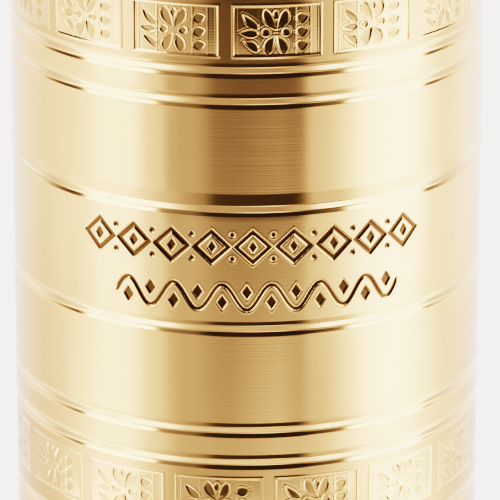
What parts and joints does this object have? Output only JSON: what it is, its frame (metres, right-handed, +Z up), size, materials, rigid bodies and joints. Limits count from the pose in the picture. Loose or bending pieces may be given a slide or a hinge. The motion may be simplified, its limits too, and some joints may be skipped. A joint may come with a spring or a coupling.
{
  "type": "pepper mill",
  "caption": "Hand-cranked cylindrical brass pepper mill: a hopper with a conical burr over a pull-off cup, a domed lift-off lid and a folding crank handle with a turning knob.",
  "frame": {"origin": "centre of the flat underside of the foot", "axes": "+Z up the mill's axis, +X along the crank at rest, -Y the front"},
  "size_m": [0.0959, 0.0526, 0.1978],
  "materials": {
    "brass_body": "polished, with brushed bands",
    "brass_handle": "polished",
    "brass_inner": "turned",
    "bronze": "machined",
    "steel": "machined",
    "hard_steel": "ground",
    "burr_iron": "cast"
  },
  "bodies": {
    "receiver": {"lower_tube": "brass_body", "base_cap": "brass_body"},
    "mill_body": {"upper_tube": "brass_body", "spigot_sleeve": "brass_inner", "outer_burr": "burr_iron", "top_spider": "brass_inner", "spider_bush": "bronze", "bottom_bridge": "steel", "bridge_screws": "steel", "tension_spring": "steel"},
    "thrust": {"thrust_ball": "hard_steel"},
    "adjuster": {"adjusting_screw": "brass_inner"},
    "drive": {"drive_shaft": "steel", "inner_burr": "burr_iron", "burr_pin": "steel", "spring_washer": "steel", "retaining_clip": "steel"},
    "lid": {"lid_dome": "brass_body", "lid_collar": "brass_inner", "lid_bush": "bronze"},
    "crank": {"crank_hub": "brass_handle", "hub_clip": "steel", "cap_nut": "brass_handle", "crank_link": "brass_handle", "hinge_pin": "steel"},
    "arm": {"crank_arm": "brass_handle", "knob_spindle": "steel", "spindle_washer": "brass_inner", "spindle_nut": "steel"},
    "handle_knob": {"knob": "brass_handle"}
  },
  "joints": [
    {"name": "body_pull", "type": "slide", "parent": "receiver", "child": "mill_body", "axis": [0, 0, 1], "range_m": [0, 0.06]},
    {"name": "burr_lift", "type": "slide", "parent": "mill_body", "child": "thrust", "axis": [0, 0, 1], "range_m": [-0.0008, 0.0004], "deforming": ["tension_spring"]},
    {"name": "adjust_turn", "type": "hinge", "parent": "thrust", "child": "adjuster", "pos_m": [0, 0, 0.065], "axis": [0, 0, 1], "range_deg": [-360, 180]},
    {"name": "shaft_spin", "type": "hinge", "parent": "thrust", "child": "drive", "pos_m": [0, 0, 0.1], "axis": [0, 0, 1], "continuous": true},
    {"name": "lid_lift", "type": "slide", "parent": "mill_body", "child": "lid", "axis": [0, 0, 1], "range_m": [0, 0.05]},
    {"name": "crank_spin", "type": "hinge", "parent": "lid", "child": "crank", "pos_m": [0, 0, 0.175], "axis": [0, 0, 1], "continuous": true},
    {"name": "arm_fold", "type": "hinge", "parent": "crank", "child": "arm", "pos_m": [0.031, 0, 0.1802], "axis": [0, 1, 0], "range_deg": [0, 90]},
    {"name": "knob_spin", "type": "hinge", "parent": "arm", "child": "handle_knob", "pos_m": [0.062, 0, 0.19], "axis": [0, 0, 1], "continuous": true}
  ],
  "couplings": [
    {"joint": "adjust_turn", "follows": "burr_lift", "rad_per_m": 7854},
    {"joint": "shaft_spin", "follows": "crank_spin", "ratio": 1}
  ]
}
